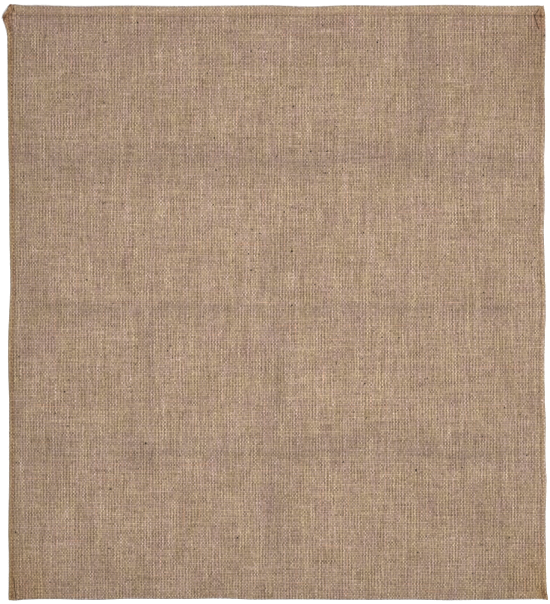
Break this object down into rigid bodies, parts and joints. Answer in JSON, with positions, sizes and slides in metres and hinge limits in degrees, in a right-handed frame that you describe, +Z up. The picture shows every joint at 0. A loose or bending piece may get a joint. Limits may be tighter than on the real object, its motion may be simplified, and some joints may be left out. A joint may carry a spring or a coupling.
{
  "type": "jute sack",
  "caption": "Empty jute sack lying flat, folded across its bottom, with stitched side seams and an open hemmed mouth.",
  "frame": {"origin": "middle of the sack's outline, on the surface that it lies on", "axes": "+Y from the bottom fold to the open mouth, +Z up out of the front of the sack, +X to the right seen from above"},
  "size_m": [1.013, 1.1058, 0.014],
  "materials": {
    "jute": "dry, matt, undyed plain-weave hessian"
  },
  "bodies": {
    "root": {"sack_cloth": "jute"}
  },
  "joints": []
}
